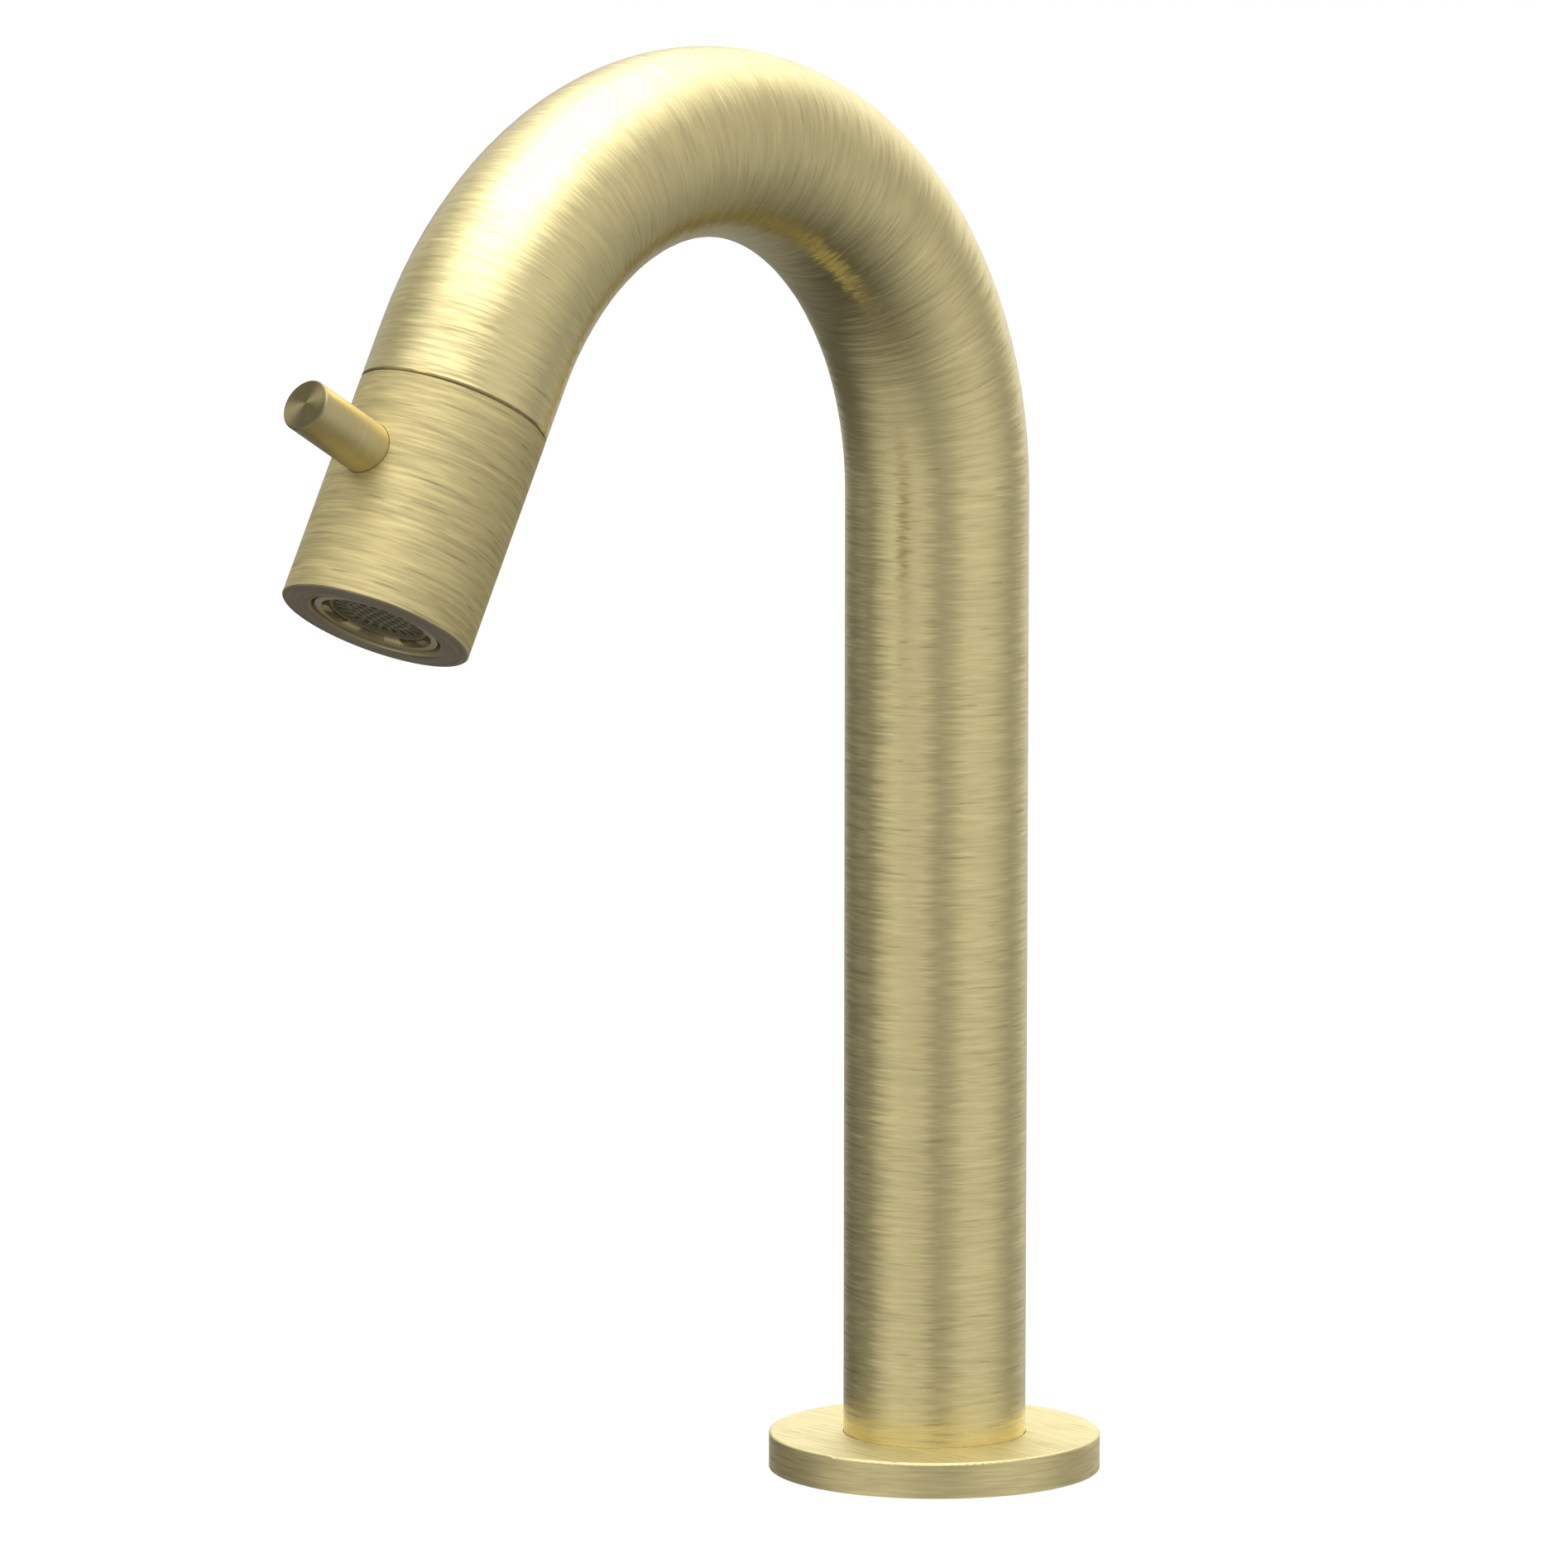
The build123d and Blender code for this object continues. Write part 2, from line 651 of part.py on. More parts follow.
def make_stream_former():
    """Grid that straightens the stream: radial slots round its edge and hexagonal cells inside."""
    grid_r = NOSE_R - NOSE_WALL
    grid_height = NOSE_END - 0.35 - GRID_START
    slot_inner_r = 3.75
    slot_outer_r = grid_r - 0.05
    slot_count = 24
    slot_sweep = 9.5
    cell_pitch = 0.62
    cell_r = 0.5
    cells_r = 3.5
    with BuildPart() as stream_former:
        with BuildSketch(HEAD.offset(GRID_START)):
            Circle(INSERT_R)
            Circle(grid_r, mode=Mode.SUBTRACT)
        extrude(amount=AERATOR_LEDGE - GRID_START)
        with BuildSketch(HEAD.offset(GRID_START)):
            Circle(NOSE_R)
            Circle(grid_r, mode=Mode.SUBTRACT)
        extrude(amount=NOSE_END - GRID_START)
        with BuildSketch(HEAD.offset(GRID_START)):
            Circle(grid_r + SLIP)
            for slot in range(slot_count):
                Sector(slot_inner_r, slot_outer_r, slot * 360 / slot_count, slot_sweep, Mode.SUBTRACT)
        extrude(amount=grid_height)
        with BuildSketch(HEAD.offset(GRID_START)):
            with HexLocations(radius=cell_pitch, x_count=7, y_count=7):
                RegularPolygon(radius=cell_r, side_count=6)
            Circle(cells_r, mode=Mode.INTERSECT)
        extrude(amount=grid_height, mode=Mode.SUBTRACT)
    save(stream_former, "stream_former")


make_spout_tube()
make_rosette()
make_rosette_seal()
make_shank()
make_deck_washers()
make_locknut()
make_cartridge_socket()
make_cartridge_body()
make_seat_seal()
make_fixed_disc()
make_slide_washer()
make_moving_disc()
make_spindle()
make_spindle_seals()
make_drive_collar()
make_head_sleeve()
make_lever()
make_glide_ring()
make_outlet_seal()
make_aerator_washer()
make_aerator_housing()
make_aerator_strainer()
make_flow_regulator()
make_jet_plate()
make_aerator_screens()
make_stream_former()
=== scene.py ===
import json
from math import acos, cos, pi, radians, sin

import bpy
from mathutils import Matrix, Vector


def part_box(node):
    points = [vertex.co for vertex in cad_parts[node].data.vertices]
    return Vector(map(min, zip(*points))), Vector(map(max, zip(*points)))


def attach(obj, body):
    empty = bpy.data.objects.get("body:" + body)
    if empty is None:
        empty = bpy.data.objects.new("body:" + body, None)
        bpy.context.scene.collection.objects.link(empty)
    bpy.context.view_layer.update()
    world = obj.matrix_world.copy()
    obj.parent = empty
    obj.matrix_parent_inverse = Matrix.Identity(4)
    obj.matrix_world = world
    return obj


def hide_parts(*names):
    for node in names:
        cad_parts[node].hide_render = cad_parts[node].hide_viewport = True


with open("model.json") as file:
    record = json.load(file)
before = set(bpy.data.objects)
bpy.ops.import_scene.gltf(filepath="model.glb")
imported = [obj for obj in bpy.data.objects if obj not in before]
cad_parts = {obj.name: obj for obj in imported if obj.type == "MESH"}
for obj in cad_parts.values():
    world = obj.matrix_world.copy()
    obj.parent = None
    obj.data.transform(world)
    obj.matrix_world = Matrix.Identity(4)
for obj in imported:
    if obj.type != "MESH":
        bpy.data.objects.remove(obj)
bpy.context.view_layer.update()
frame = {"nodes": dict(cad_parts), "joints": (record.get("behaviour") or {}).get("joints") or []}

# Looks of a swan-neck washbasin tap in brushed pale brass.
# Blender's unit is the metre. Sizes and shaders here are in millimetres, on coordinates that move
# with each piece.

MM = 0.001

# ---- Camera --------------------------------------------------------------------------------------

CAMERA_PLACE = (696.247, -836.354, 222.632)
CAMERA_AZIMUTH = 40.737
CAMERA_ELEVATION = 7.311
CAMERA_ROLL = 0.048
CAMERA_LENS = 210.247
SENSOR_WIDTH = 36.0

# ---- Studio --------------------------------------------------------------------------------------

# Soft light that falls on the tap: rows of brightness round the horizon, each at one height in
# degrees. A row starts in the camera's direction and goes round by way of the camera's right.
LIGHT_ROWS = (
    (-80, (0.02,)),
    (-45, (0.30, 0.30, 0.22, 0.25, 0.05, 0.42)),
    (-15, (0.35, 0.60, 0.60, 0.33, 0.37, 0.40, 0.08, 0.15, 0.47, 0.66)),
    (8, (0.30, 0.28, 0.71, 0.74, 0.66, 0.49, 0.38, 0.60, 1.0, 1.1, 0.6, 0.6, 0.43, 0.30, 0.42, 0.15,
         0.56, 0.85, 0.55, 0.75)),
    (32, (0.55, 0.68, 0.66, 0.60, 0.48, 1.22, 1.5, 0.76, 0.41, 0.48, 0.60, 0.40)),
    (55, (2.1, 2.15, 1.25, 1.2, 1.95, 2.35, 1.55, 1.15, 1.5, 1.75)),
    (75, (3.6, 3.5, 3.0, 3.3, 3.1, 3.2)),
    (90, (1.9,)),
)
LIGHT_TOP = 4.0  # brightness that full white stands for in a row's colour ramp

FLOOR_SIZE = 3000.0  # from the middle to each side
FLOOR_DROP = 0.05  # how far it lies under the rosette's underside
FLOOR_GLOW = 0.9
FLOOR_WHITE = 0.12

# ---- Measures taken from the frame ---------------------------------------------------------------

joint = frame["joints"][0]
HEAD_ORIGIN = Vector(joint["pos_m"]) / MM
HEAD_AXIS = Vector(joint["axis"])
tube_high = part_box("spout_tube")[1]
TUBE_R = tube_high.x / MM
BEND = acos(HEAD_AXIS.z)


def swan_neck_shape():
    """Riser height and bend radius, worked out from the tube's top and the place of the seam."""
    crown = tube_high.z / MM - TUBE_R
    # The crown is one bend radius above the riser. The way from there to the seam, as (y, z), is
    # radius * per_radius for the bend plus tail * per_tail for the straight end of the tube.
    per_radius = (cos(BEND) - 1, sin(BEND) - 1)
    per_tail = (-sin(BEND), cos(BEND))
    y, z = HEAD_ORIGIN.y, HEAD_ORIGIN.z - crown
    determinant = per_radius[0] * per_tail[1] - per_tail[0] * per_radius[1]
    radius = (y * per_tail[1] - per_tail[0] * z) / determinant
    return crown - radius, radius


RISER, BEND_R = swan_neck_shape()

# ---- Scene and node helpers ----------------------------------------------------------------------


def put_in_scene(name, data):
    """A new object in the scene."""
    made = bpy.data.objects.new(name, data)
    bpy.context.scene.collection.objects.link(made)
    return made


def new_material(name):
    """A new material and the empty graph to fill it with."""
    material = bpy.data.materials.new(name)
    material.use_nodes = True
    return material, Graph(material.node_tree)


class Graph:
    """Adds nodes to one material or world. A value may be a number, a tuple or another node's socket."""

    # A Mix node's sockets for each type of data: first value, second value, result.
    MIX_SOCKETS = {"FLOAT": (2, 3, 0), "VECTOR": (4, 5, 1)}

    def __init__(self, tree):
        self.tree = tree
        tree.nodes.clear()

    def node(self, kind, settings=(), **inputs):
        made = self.tree.nodes.new("ShaderNode" + kind)
        for key, value in dict(settings).items():
            setattr(made, key, value)
        for key, value in inputs.items():
            self.feed(made.inputs[key.replace("_", " ")], value)
        return made

    def feed(self, socket, value):
        if isinstance(value, bpy.types.NodeSocket):
            self.tree.links.new(value, socket)
        else:
            socket.default_value = value

    def feed_all(self, sockets, values):
        for socket, value in zip(sockets, values):
            self.feed(socket, value)

    def math(self, operation, *values):
        made = self.node("Math", {"operation": operation})
        self.feed_all(made.inputs, values)
        return made.outputs[0]

    def vector(self, operation, *values):
        made = self.node("VectorMath", {"operation": operation})
        self.feed_all(made.inputs, values)
        return made.outputs["Value" if operation == "DOT_PRODUCT" else "Vector"]

    def scaled(self, vector, factor):
        return self.node("VectorMath", {"operation": "SCALE"}, Vector=vector, Scale=factor).outputs[0]

    def add(self, *values):
        total = values[0]
        for value in values[1:]:
            total = self.math("ADD", total, value)
        return total

    def times(self, *values):
        total = values[0]
        for value in values[1:]:
            total = self.math("MULTIPLY", total, value)
        return total

    def combine(self, x, y, z):
        return self.node("CombineXYZ", X=x, Y=y, Z=z).outputs[0]

    def ease(self, value, low, high, to_low=0.0, to_high=1.0):
        """Smooth step from to_low, where value is low, to to_high, where it is high."""
        settings = {"interpolation_type": "SMOOTHSTEP"}
        limits = {"From_Min": low, "From_Max": high, "To_Min": to_low, "To_Max": to_high}
        return self.node("MapRange", settings, Value=value, **limits).outputs[0]

    def noise(self, vector, scale=1.0, detail=2.0, roughness=0.5):
        return self.node("TexNoise", Vector=vector, Scale=scale, Detail=detail, Roughness=roughness)

    def ramp(self, value, stops, top):
        """Straight-line table of numbers up to top, from (place, number) pairs in rising order."""
        made = self.node("ValToRGB", Fac=value)
        elements = made.color_ramp.elements
        for element, (place, number) in ((elements[0], stops[0]), (elements[1], stops[-1])):
            element.position = place
            element.color = (number / top, number / top, number / top, 1)
        for place, number in stops[1:-1]:
            elements.new(place).color = (number / top, number / top, number / top, 1)
        return self.times(made.outputs[0], top)

    def blend(self, data_type, factor, first, second):
        """Straight blend of two numbers, FLOAT, or of two vectors or colours, VECTOR."""
        made = self.node("Mix", {"data_type": data_type})
        first_input, second_input, output = self.MIX_SOCKETS[data_type]
        self.feed(made.inputs[0], factor)
        self.feed(made.inputs[first_input], first)
        self.feed(made.inputs[second_input], second)
        return made.outputs[output]

    def blend_shaders(self, factor, first, second):
        made = self.node("MixShader", Fac=factor)
        self.feed_all(made.inputs[1:], (first, second))
        return made.outputs[0]

    def add_shaders(self, first, second):
        made = self.node("AddShader")
        self.feed_all(made.inputs, (first, second))
        return made.outputs[0]

    def to_world(self, vector):
        settings = {"vector_type": "VECTOR", "convert_from": "OBJECT", "convert_to": "WORLD"}
        return self.node("VectorTransform", settings, Vector=vector).outputs[0]


# ---- Camera, light and floor ---------------------------------------------------------------------


def make_camera():
    """Long-lens camera in front of the tap, placed by azimuth, elevation and a slight roll."""
    azimuth, elevation, roll = (radians(a) for a in (CAMERA_AZIMUTH, CAMERA_ELEVATION, CAMERA_ROLL))
    back = Vector((sin(azimuth) * cos(elevation), -cos(azimuth) * cos(elevation), sin(elevation)))
    right = Vector((cos(azimuth), sin(azimuth), 0))
    up = back.cross(right)
    turned_right = right * cos(roll) + up * sin(roll)
    turned_up = up * cos(roll) - right * sin(roll)
    camera = put_in_scene("camera", bpy.data.cameras.new("camera"))
    turn = Matrix((turned_right, turned_up, back)).transposed().to_4x4()
    camera.matrix_world = Matrix.Translation(Vector(CAMERA_PLACE) * MM) @ turn
    camera.data.sensor_width = SENSOR_WIDTH
    camera.data.lens = CAMERA_LENS
    bpy.context.scene.camera = camera


def make_studio():
    """Soft studio light all round the tap, in front of a white background."""
    world = bpy.data.worlds.new("studio")
    bpy.context.scene.world = world
    world.use_nodes = True
    g = Graph(world.node_tree)
    azimuth = radians(CAMERA_AZIMUTH)
    direction = g.node("TexCoord").outputs["Generated"]
    ahead = g.vector("DOT_PRODUCT", direction, (sin(azimuth), -cos(azimuth), 0))
    across = g.vector("DOT_PRODUCT", direction, (cos(azimuth), sin(azimuth), 0))
    height = g.vector("DOT_PRODUCT", direction, (0, 0, 1))
    # a whole turn is 1, and the camera's direction is at a half
    turn = g.add(g.times(g.math("ARCTAN2", across, ahead), 0.5 / pi), 0.5)
    rise = g.math("DEGREES", g.math("ARCSINE", height))
    light = LIGHT_ROWS[0][1][0]
    for (angle_below, _), (angle, row) in zip(LIGHT_ROWS, LIGHT_ROWS[1:]):
        count = len(row)
        half = count // 2
        stops = [(k / count, row[(k + half) % count]) for k in range(count + 1)]
        share = g.node("MapRange", Value=rise, From_Min=angle_below, From_Max=angle).outputs[0]
        light = g.blend("FLOAT", share, light, g.ramp(turn, stops, LIGHT_TOP))
    lamps = g.node("Background", Color=light).outputs[0]
    white = g.node("Background", Color=(1, 1, 1, 1)).outputs[0]
    seen = g.node("LightPath").outputs["Is Camera Ray"]
    g.node("OutputWorld", Surface=g.blend_shaders(seen, lamps, white))


def make_floor():
    """Pale deck at the height the rosette stands on. From below it is clear, to show the fixing."""
    side = FLOOR_SIZE * MM
    mesh = bpy.data.meshes.new("floor")
    corners = [(-side, -side, 0), (side, -side, 0), (side, side, 0), (-side, side, 0)]
    mesh.from_pydata(corners, [], [(0, 1, 2, 3)])
    floor = put_in_scene("floor", mesh)
    floor.location.z = -FLOOR_DROP * MM
    # the table of light already holds what a deck would send up into the metal
    floor.visible_glossy = False
    floor.visible_diffuse = False
    floor.visible_shadow = False
    material, g = new_material("pale_floor")
    matt = g.node("BsdfDiffuse", Color=(FLOOR_WHITE, FLOOR_WHITE, FLOOR_WHITE, 1)).outputs[0]
    glow = g.node("Emission", Color=(1, 1, 1, 1), Strength=FLOOR_GLOW).outputs[0]
    clear = g.node("BsdfTransparent").outputs[0]
    underside = g.node("NewGeometry").outputs["Backfacing"]
    g.node("OutputMaterial", Surface=g.blend_shaders(underside, g.add_shaders(matt, glow), clear))
    mesh.materials.append(material)


# ---- Paths that the brushing and turning marks follow --------------------------------------------


def millimetres(g):
    """The point on the piece, in millimetres, in coordinates that move with the piece."""
    return g.scaled(g.node("TexCoord").outputs["Object"], 1 / MM)


def swan_neck(g):
    """Coordinates of the tube as if it were straight, then the ways out from and round its axis."""
    x, y, z = g.node("SeparateXYZ", Vector=millimetres(g)).outputs
    out = g.add(y, BEND_R)
    up = g.math("SUBTRACT", z, RISER)
    half = BEND / 2
    # turned by half the bend, so that the angle doesn't jump anywhere on the tube
    u = g.add(g.times(out, cos(half)), g.times(up, sin(half)))
    v = g.math("SUBTRACT", g.times(up, cos(half)), g.times(out, sin(half)))
    angle = g.math("MINIMUM", g.math("MAXIMUM", g.add(g.math("ARCTAN2", v, u), half), 0), BEND)
    sine = g.math("SINE", angle)
    cosine = g.math("COSINE", angle)
    along = g.math("SUBTRACT", g.times(up, cosine), g.times(out, sine))
    inward = g.math("SUBTRACT", g.add(g.times(out, cosine), g.times(up, sine)), BEND_R)
    length = g.add(g.times(angle, BEND_R), along, RISER)
    radial = g.combine(x, g.times(inward, cosine), g.times(inward, sine))
    groove = g.combine(g.times(inward, -1), g.times(x, cosine), g.times(x, sine))
    return x, inward, length, radial, groove


def straight(origin, axis):
    """The same for a round piece on a straight axis."""
    axis = Vector(axis).normalized()
    first = axis.orthogonal().normalized()
    second = axis.cross(first)

    def path(g):
        place = g.vector("SUBTRACT", millimetres(g), tuple(origin))
        x, y, length = (g.vector("DOT_PRODUCT", place, tuple(v)) for v in (first, second, axis))
        radial = g.vector("ADD", g.scaled(first, x), g.scaled(second, y))
        groove = g.vector("CROSS_PRODUCT", tuple(axis), place)
        return x, y, length, radial, groove

    return path


# ---- Brushed metal -------------------------------------------------------------------------------

# Waves per millimetre of each layer of marks, round the piece and along it.
FINE_GROOVES = (0.18, 3.7)
MEDIUM_GROOVES = (0.12, 2.1)
BROAD_BANDS = (0.05, 0.22)
SCRATCHES = (0.17, 3.1)
TURNING_RINGS = (0.02, 4.0)

SCRATCH_RANGE = (0.66, 0.74)  # noise values that begin and complete a scratch
END_FACE_RANGE = (0.6, 0.9)  # how squarely an end face and a wall look out from the axis; the range takes in the chamfers, so they get the end colour and its painted shade
WALL_RANGE = (0.96, 0.99)  # the same, for a wall that is surely round
TOP_RANGE = (0.35, 0.8)  # how far up a face looks before its grain is straight

MEDIUM_COMB = 0.2  # share of the comb that the medium grooves have
BAND_CONTRAST = 0.05
MEDIUM_ROUGHNESS = 0.05
FINE_ROUGHNESS = 0.04
SHEET_PLACE = 7.3  # the plane in the noise that straight grain is read from


def round_and_along(g, x, y, length):
    """Place for rings of noise. They go round a wall and, as the radius counts too, round an end face."""
    radius = g.math("SQRT", g.add(g.times(x, x), g.times(y, y)))
    return x, y, g.add(length, radius)


def streaks(g, place, waves, detail=2.0):
    """Noise drawn out round the piece, with so many waves per millimetre (round, along)."""
    x, y, level = place
    around, along = waves
    return g.noise(g.combine(g.times(x, around), g.times(y, around), g.times(level, along)), detail=detail)


def three_streaks(g, place, waves, detail=2.0):
    """Three noises of the same kind that don't depend on each other."""
    return g.node("SeparateColor", Color=streaks(g, place, waves, detail).outputs["Color"]).outputs


def centred(g, value, amount):
    """Noise value as a swing of plus or minus about amount round zero."""
    return g.times(g.math("SUBTRACT", value, 0.5), 2 * amount)


def shaded(g, colour, shade):
    return g.vector("MULTIPLY", colour, g.combine(shade, shade, shade))


def true_round_normal(g, radial):
    """The mesh's normal, but exactly radial on round walls, so that their facets never show.

    Also how far the surface is an end face: 0 on the wall, 1 on the end."""
    normal = g.node("NewGeometry").outputs["Normal"]
    out = g.to_world(g.vector("NORMALIZE", radial))
    outward = g.vector("DOT_PRODUCT", normal, out)
    end_face = g.ease(g.math("ABSOLUTE", outward), *END_FACE_RANGE, 1.0, 0.0)
    return g.blend("VECTOR", g.ease(outward, *WALL_RANGE), normal, out), end_face


def groove_directions(g, groove, normal):
    """World directions along the grooves and across them."""
    groove = g.to_world(g.vector("NORMALIZE", groove))
    return groove, g.vector("NORMALIZE", g.vector("CROSS_PRODUCT", groove, normal))


def straight_grain(g, direction, place, groove):
    """Place and groove direction with straight brushing on the faces that look up."""
    direction = Vector(direction).normalized()
    cross = Vector((-direction.y, direction.x, 0))
    point = millimetres(g)
    along = g.vector("DOT_PRODUCT", point, tuple(direction))
    across = g.vector("DOT_PRODUCT", point, tuple(cross))
    up = g.vector("DOT_PRODUCT", g.node("TexCoord").outputs["Normal"], (0, 0, 1))
    top = g.ease(up, *TOP_RANGE)
    mixed = g.blend("VECTOR", top, g.combine(*place), g.combine(along, SHEET_PLACE, across))
    groove = g.blend("VECTOR", top, g.vector("NORMALIZE", groove), tuple(direction))
    return g.node("SeparateXYZ", Vector=mixed).outputs, groove


def brushed_brass(name, path, look, flat_grain=None):
    """Pale lacquered brass with fine brushing round its axis.

    A look holds colour, roughness and anisotropy for the round wall and, with end_ before them, for
    the end faces. On the rosette, head sleeve and lever the end colour is darker than the wall:
    painted shade that dims the light the end faces and chamfers reflect. slant and comb say how far
    single grooves lean along the axis and round it, contrast how much their brightness differs, and
    scratches how dark the scratches are.
    flat_grain is the direction of the straight brushing on faces that look up, if there is any."""
    material, g = new_material(name)
    x, y, length, radial, groove = path(g)
    place = round_and_along(g, x, y, length)
    normal, end_face = true_round_normal(g, radial)
    if flat_grain:
        place, groove = straight_grain(g, flat_grain, place, groove)
    groove, tangent = groove_directions(g, groove, normal)

    fine = three_streaks(g, place, FINE_GROOVES)
    medium = three_streaks(g, place, MEDIUM_GROOVES, detail=4.0)
    broad = streaks(g, place, BROAD_BANDS).outputs["Fac"]
    scratch = g.ease(streaks(g, place, SCRATCHES, detail=1.0).outputs["Fac"], *SCRATCH_RANGE)

    slant, comb, contrast = look["slant"], look["comb"], look["contrast"]
    lean_along = g.add(centred(g, fine[0], slant), centred(g, medium[0], slant))
    lean_round = g.add(centred(g, fine[1], comb), centred(g, medium[1], comb * MEDIUM_COMB))
    leaning = g.vector("ADD", normal, g.scaled(tangent, lean_along))
    leaning = g.vector("NORMALIZE", g.vector("ADD", leaning, g.scaled(groove, lean_round)))
    shade = g.add(
        1.0,
        centred(g, fine[2], contrast),
        centred(g, medium[2], contrast),
        centred(g, broad, BAND_CONTRAST),
        g.times(scratch, -look["scratches"]),
    )
    rough = g.add(
        g.ease(end_face, 0, 1, look["roughness"], look["end_roughness"]),
        centred(g, medium[2], MEDIUM_ROUGHNESS),
        centred(g, fine[0], FINE_ROUGHNESS),
    )
    # end faces and chamfers take the end colour, which on the rosette, head sleeve and lever is painted
    # shade
    shader = g.node(
        "BsdfPrincipled",
        Base_Color=shaded(g, g.blend("VECTOR", end_face, look["colour"], look["end_colour_and_painted_shade"]), shade),
        Metallic=1.0,
        Roughness=rough,
        Anisotropic=g.ease(end_face, 0, 1, look["anisotropy"], look["end_anisotropy"]),
        Tangent=tangent,
        Normal=leaning,
    )
    g.node("OutputMaterial", Surface=shader.outputs[0])
    return material


# ---- Other finishes ------------------------------------------------------------------------------

CLOUD_SCALE = 0.35
CLOUD_SWING = 0.12  # of brightness and of roughness
SPECKLE_SCALE = 6.0
RING_ROUGHNESS = 0.1
RING_HEIGHT = 4
SPECKLE_HEIGHT = 2
BUMP_STRENGTH = 0.5
BUMP_DEPTH = 0.01
TURNED_ANISOTROPY = 0.5


def turned(name, path, base, roughness, metallic=1.0, marks=0.05, grain=0.0):
    """A turned or moulded round piece: tool marks round its axis over a slight cloud of colour.

    marks and grain say how strongly the tool marks and the speckle show."""
    material, g = new_material(name)
    x, y, length, _, groove = path(g)
    rings = streaks(g, round_and_along(g, x, y, length), TURNING_RINGS).outputs["Fac"]
    cloud = g.noise(millimetres(g), CLOUD_SCALE, 4.0, 0.6).outputs["Fac"]
    speckle = g.noise(millimetres(g), SPECKLE_SCALE, 2.0, 0.6).outputs["Fac"]
    shade = g.add(
        1.0,
        centred(g, rings, marks),
        centred(g, cloud, CLOUD_SWING),
        centred(g, speckle, grain),
    )
    rough = g.add(roughness, centred(g, rings, RING_ROUGHNESS), centred(g, cloud, CLOUD_SWING))
    height = g.add(g.times(rings, marks * RING_HEIGHT), g.times(speckle, grain * SPECKLE_HEIGHT))
    bump = g.node("Bump", Strength=BUMP_STRENGTH, Distance=BUMP_DEPTH * MM, Height=height)
    shader = g.node(
        "BsdfPrincipled",
        Base_Color=shaded(g, base, shade),
        Metallic=metallic,
        Roughness=rough,
        Normal=bump.outputs[0],
    )
    if metallic:
        _, tangent = groove_directions(g, groove, g.node("NewGeometry").outputs["Normal"])
        g.feed(shader.inputs["Anisotropic"], TURNED_ANISOTROPY)
        g.feed(shader.inputs["Tangent"], tangent)
    g.node("OutputMaterial", Surface=shader.outputs[0])
    return material


# ---- Threaded shank ------------------------------------------------------------------------------


def clamp(value):
    return min(1.0, max(0.0, value))


def make_shank():
    """The mounting shank with its real G 1/2 thread cut into it, in place of the plain cylinder."""
    low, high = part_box("mounting_shank")
    nut_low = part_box("locknut")[0].z / MM
    major = high.x / MM
    bottom, top = low.z / MM, high.z / MM
    bore = 6.0
    pitch = 25.4 / 14
    depth = 1.162
    flat = 0.14  # of half a pitch, at the root and again at the crest
    fade_start, fade_length = -3.5, 2.0  # the thread runs out here, to the full diameter
    relief_low, relief_high, relief_depth = nut_low - 2.0, nut_low - 0.5, 0.8
    chamfer = 1.0
    spigot, shoulder = 9.45, 2.0  # the plain upper end: its radius, and the height where it starts
    last_row = shoulder - 0.05
    columns = 96
    rows_per_pitch = 14

    def threaded_radius(turn, z):
        ridge = abs(2 * ((z / pitch - turn) % 1.0) - 1)
        ridge = clamp((ridge - flat) / (1 - 2 * flat))
        r = major - depth + depth * (3 * ridge * ridge - 2 * ridge ** 3)
        r = r + (major - r) * clamp((z - fade_start) / fade_length)
        if relief_low < z < relief_high:
            r = min(r, major - relief_depth)
        return min(r, major - max(0.0, bottom + chamfer - z))

    # radius and height of each row of points, with None where the thread sets the radius
    threaded_rows = int((last_row - bottom) / pitch * rows_per_pitch)
    outline = [(bore, bottom)]
    outline += [(None, bottom + (last_row - bottom) * i / threaded_rows) for i in range(threaded_rows + 1)]
    outline += [(spigot, shoulder), (spigot, top - chamfer), (spigot - chamfer, top), (bore, top)]
    points = []
    for row_radius, z in outline:
        for k in range(columns):
            turn = k / columns
            r = row_radius or threaded_radius(turn, z)
            points.append((r * cos(2 * pi * turn) * MM, r * sin(2 * pi * turn) * MM, z * MM))
    faces = []
    for row in range(len(outline)):
        below = row * columns
        above = (row + 1) % len(outline) * columns
        for k in range(columns):
            n = (k + 1) % columns
            faces.append((below + k, below + n, above + n, above + k))
    mesh = bpy.data.meshes.new("threaded_shank")
    mesh.from_pydata(points, [], faces)
    mesh.update()
    shank = put_in_scene("threaded_shank", mesh)
    mesh.shade_smooth()
    mesh.set_sharp_from_angle(angle=radians(35))
    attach(shank, "spout_body")
    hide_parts("mounting_shank")
    return shank


# ---- Looks of the brushed pieces -----------------------------------------------------------------

BRASS = (0.86, 0.74, 0.375)
TUBE_LOOK = {
    "colour": BRASS, "roughness": 0.29, "anisotropy": 0.72,
    "end_colour_and_painted_shade": BRASS, "end_roughness": 0.30, "end_anisotropy": 0.55,
    "slant": 0.17, "comb": 0.18, "contrast": 0.13, "scratches": 0.2,
}
# the rosette's top and underside are painted a little darker than its wall: painted shade that tones down
# the overhead light they reflect up into the tube
ROSETTE_LOOK = TUBE_LOOK | {
    "roughness": 0.42, "anisotropy": 0.4, "comb": 0.12, "contrast": 0.22,
    "end_colour_and_painted_shade": (0.77, 0.68, 0.37), "end_roughness": 0.54, "end_anisotropy": 0.2,
}
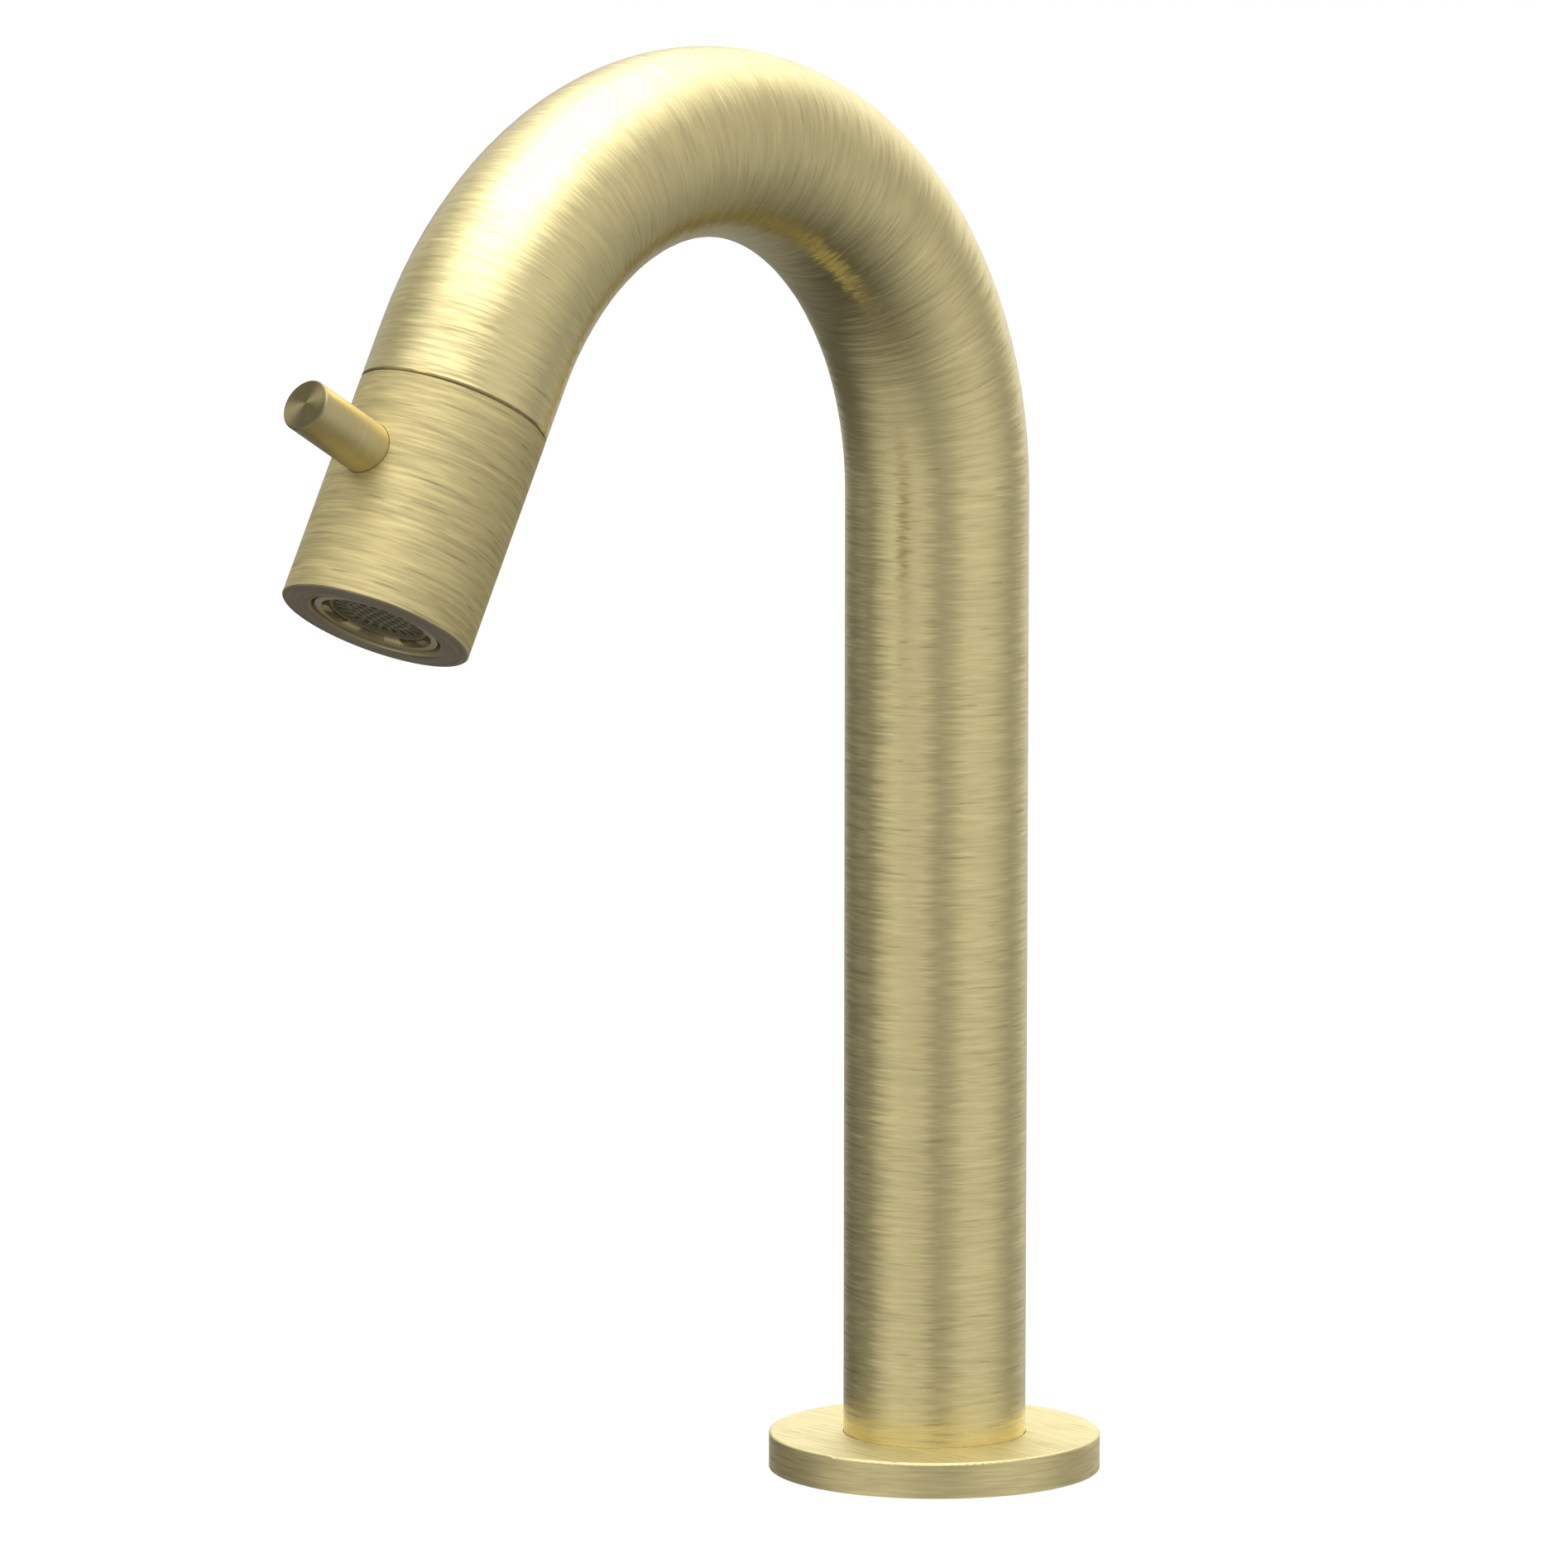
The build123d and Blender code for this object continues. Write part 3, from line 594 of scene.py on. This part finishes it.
# the sleeve's end faces and chamfers, the outlet edge among them, are painted darker and greyer than its
# wall: painted shade that dims their highlights
HEAD_LOOK = TUBE_LOOK | {
    "colour": (0.68, 0.585, 0.30), "roughness": 0.60, "anisotropy": 0.1,
    "end_colour_and_painted_shade": (0.55, 0.475, 0.34), "end_roughness": 0.6, "end_anisotropy": 0.0,
    "slant": 0.2, "contrast": 0.26, "scratches": 0.3,
}
# the lever's end face and its chamfer are painted dark brown: painted shade standing in for the dark part
# of the studio they reflect
LEVER_LOOK = TUBE_LOOK | {
    "colour": (0.76, 0.645, 0.34), "roughness": 0.40, "anisotropy": 0.5,
    "end_colour_and_painted_shade": (0.27, 0.225, 0.11), "end_roughness": 0.44, "end_anisotropy": 0.98,
    "slant": 0.05, "comb": 0.06, "contrast": 0.06,
}
ROSETTE_GRAIN = radians(-10)  # direction of the straight brushing on the rosette's top
TURNED_BRASS = (0.80, 0.62, 0.32)
RUBBER = (0.035, 0.035, 0.037)

# ---- The whole -----------------------------------------------------------------------------------


def dress(material, *names):
    """Give pieces their finish."""
    for name in names:
        slots = pieces[name].data.materials
        slots.clear()
        slots.append(material)


make_camera()
make_studio()
make_floor()
bpy.context.scene.view_settings.view_transform = "Standard"
pieces = dict(frame["nodes"])
pieces["threaded_shank"] = make_shank()

lever_low, lever_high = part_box("lever_pin")
lever_middle = (lever_low + lever_high) / 2 / MM
lever_axis = Vector((0, HEAD_AXIS.z, -HEAD_AXIS.y))
on_riser = straight((0, 0, 0), (0, 0, 1))
on_head = straight(HEAD_ORIGIN, HEAD_AXIS)
on_lever = straight(lever_middle, lever_axis)
grain = (cos(ROSETTE_GRAIN), sin(ROSETTE_GRAIN), 0)

dress(brushed_brass("brushed_brass_tube", swan_neck, TUBE_LOOK), "spout_tube")
dress(brushed_brass("brushed_brass_head", swan_neck, HEAD_LOOK), "head_sleeve")
dress(brushed_brass("brushed_brass_rosette", on_riser, ROSETTE_LOOK, grain), "rosette")
dress(brushed_brass("brushed_brass_lever", on_lever, LEVER_LOOK), "lever_pin")

shank_brass = turned("turned_brass_shank", on_riser, TURNED_BRASS, 0.32)
valve_brass = turned("turned_brass_valve", on_head, TURNED_BRASS, 0.30)
steel = turned("zinc_steel", on_riser, (0.70, 0.71, 0.72), 0.38, marks=0.03, grain=0.08)
foot_rubber = turned("black_rubber_foot", on_riser, RUBBER, 0.62, metallic=0.0, marks=0.06, grain=0.3)
valve_rubber = turned("black_rubber_valve", on_head, RUBBER, 0.55, metallic=0.0, marks=0.06, grain=0.2)
silicone = turned("silicone", on_head, (0.75, 0.32, 0.22), 0.5, metallic=0.0, grain=0.1)
alumina = turned("alumina", on_head, (0.90, 0.90, 0.88), 0.18, metallic=0.0, marks=0.01, grain=0.05)
slide = turned("slide_plastic", on_head, (0.86, 0.86, 0.83), 0.45, metallic=0.0, marks=0.03, grain=0.04)
satin = turned("aerator_metal", on_head, (0.70, 0.63, 0.40), 0.32, marks=0.04, grain=0.05)
tinted = turned("aerator_plastic", on_head, (0.24, 0.21, 0.12), 0.42, metallic=0.0, marks=0.02, grain=0.06)
screen = turned("screen_steel", on_head, (0.66, 0.66, 0.66), 0.3, grain=0.1)

dress(shank_brass, "threaded_shank", "locknut")
dress(valve_brass, "cartridge_socket", "cartridge_body", "spindle", "drive_collar")
dress(steel, "metal_washer")
dress(foot_rubber, "rosette_seal", "rubber_washer")
dress(valve_rubber, "spindle_seals", "outlet_seal", "aerator_washer", "regulator_ring")
dress(silicone, "seat_seal")
dress(alumina, "fixed_disc", "moving_disc")
dress(slide, "slide_washer", "glide_ring")
dress(satin, "aerator_housing")
dress(tinted, "aerator_strainer", "flow_regulator", "jet_plate", "stream_former")
dress(screen, "aerator_screens")
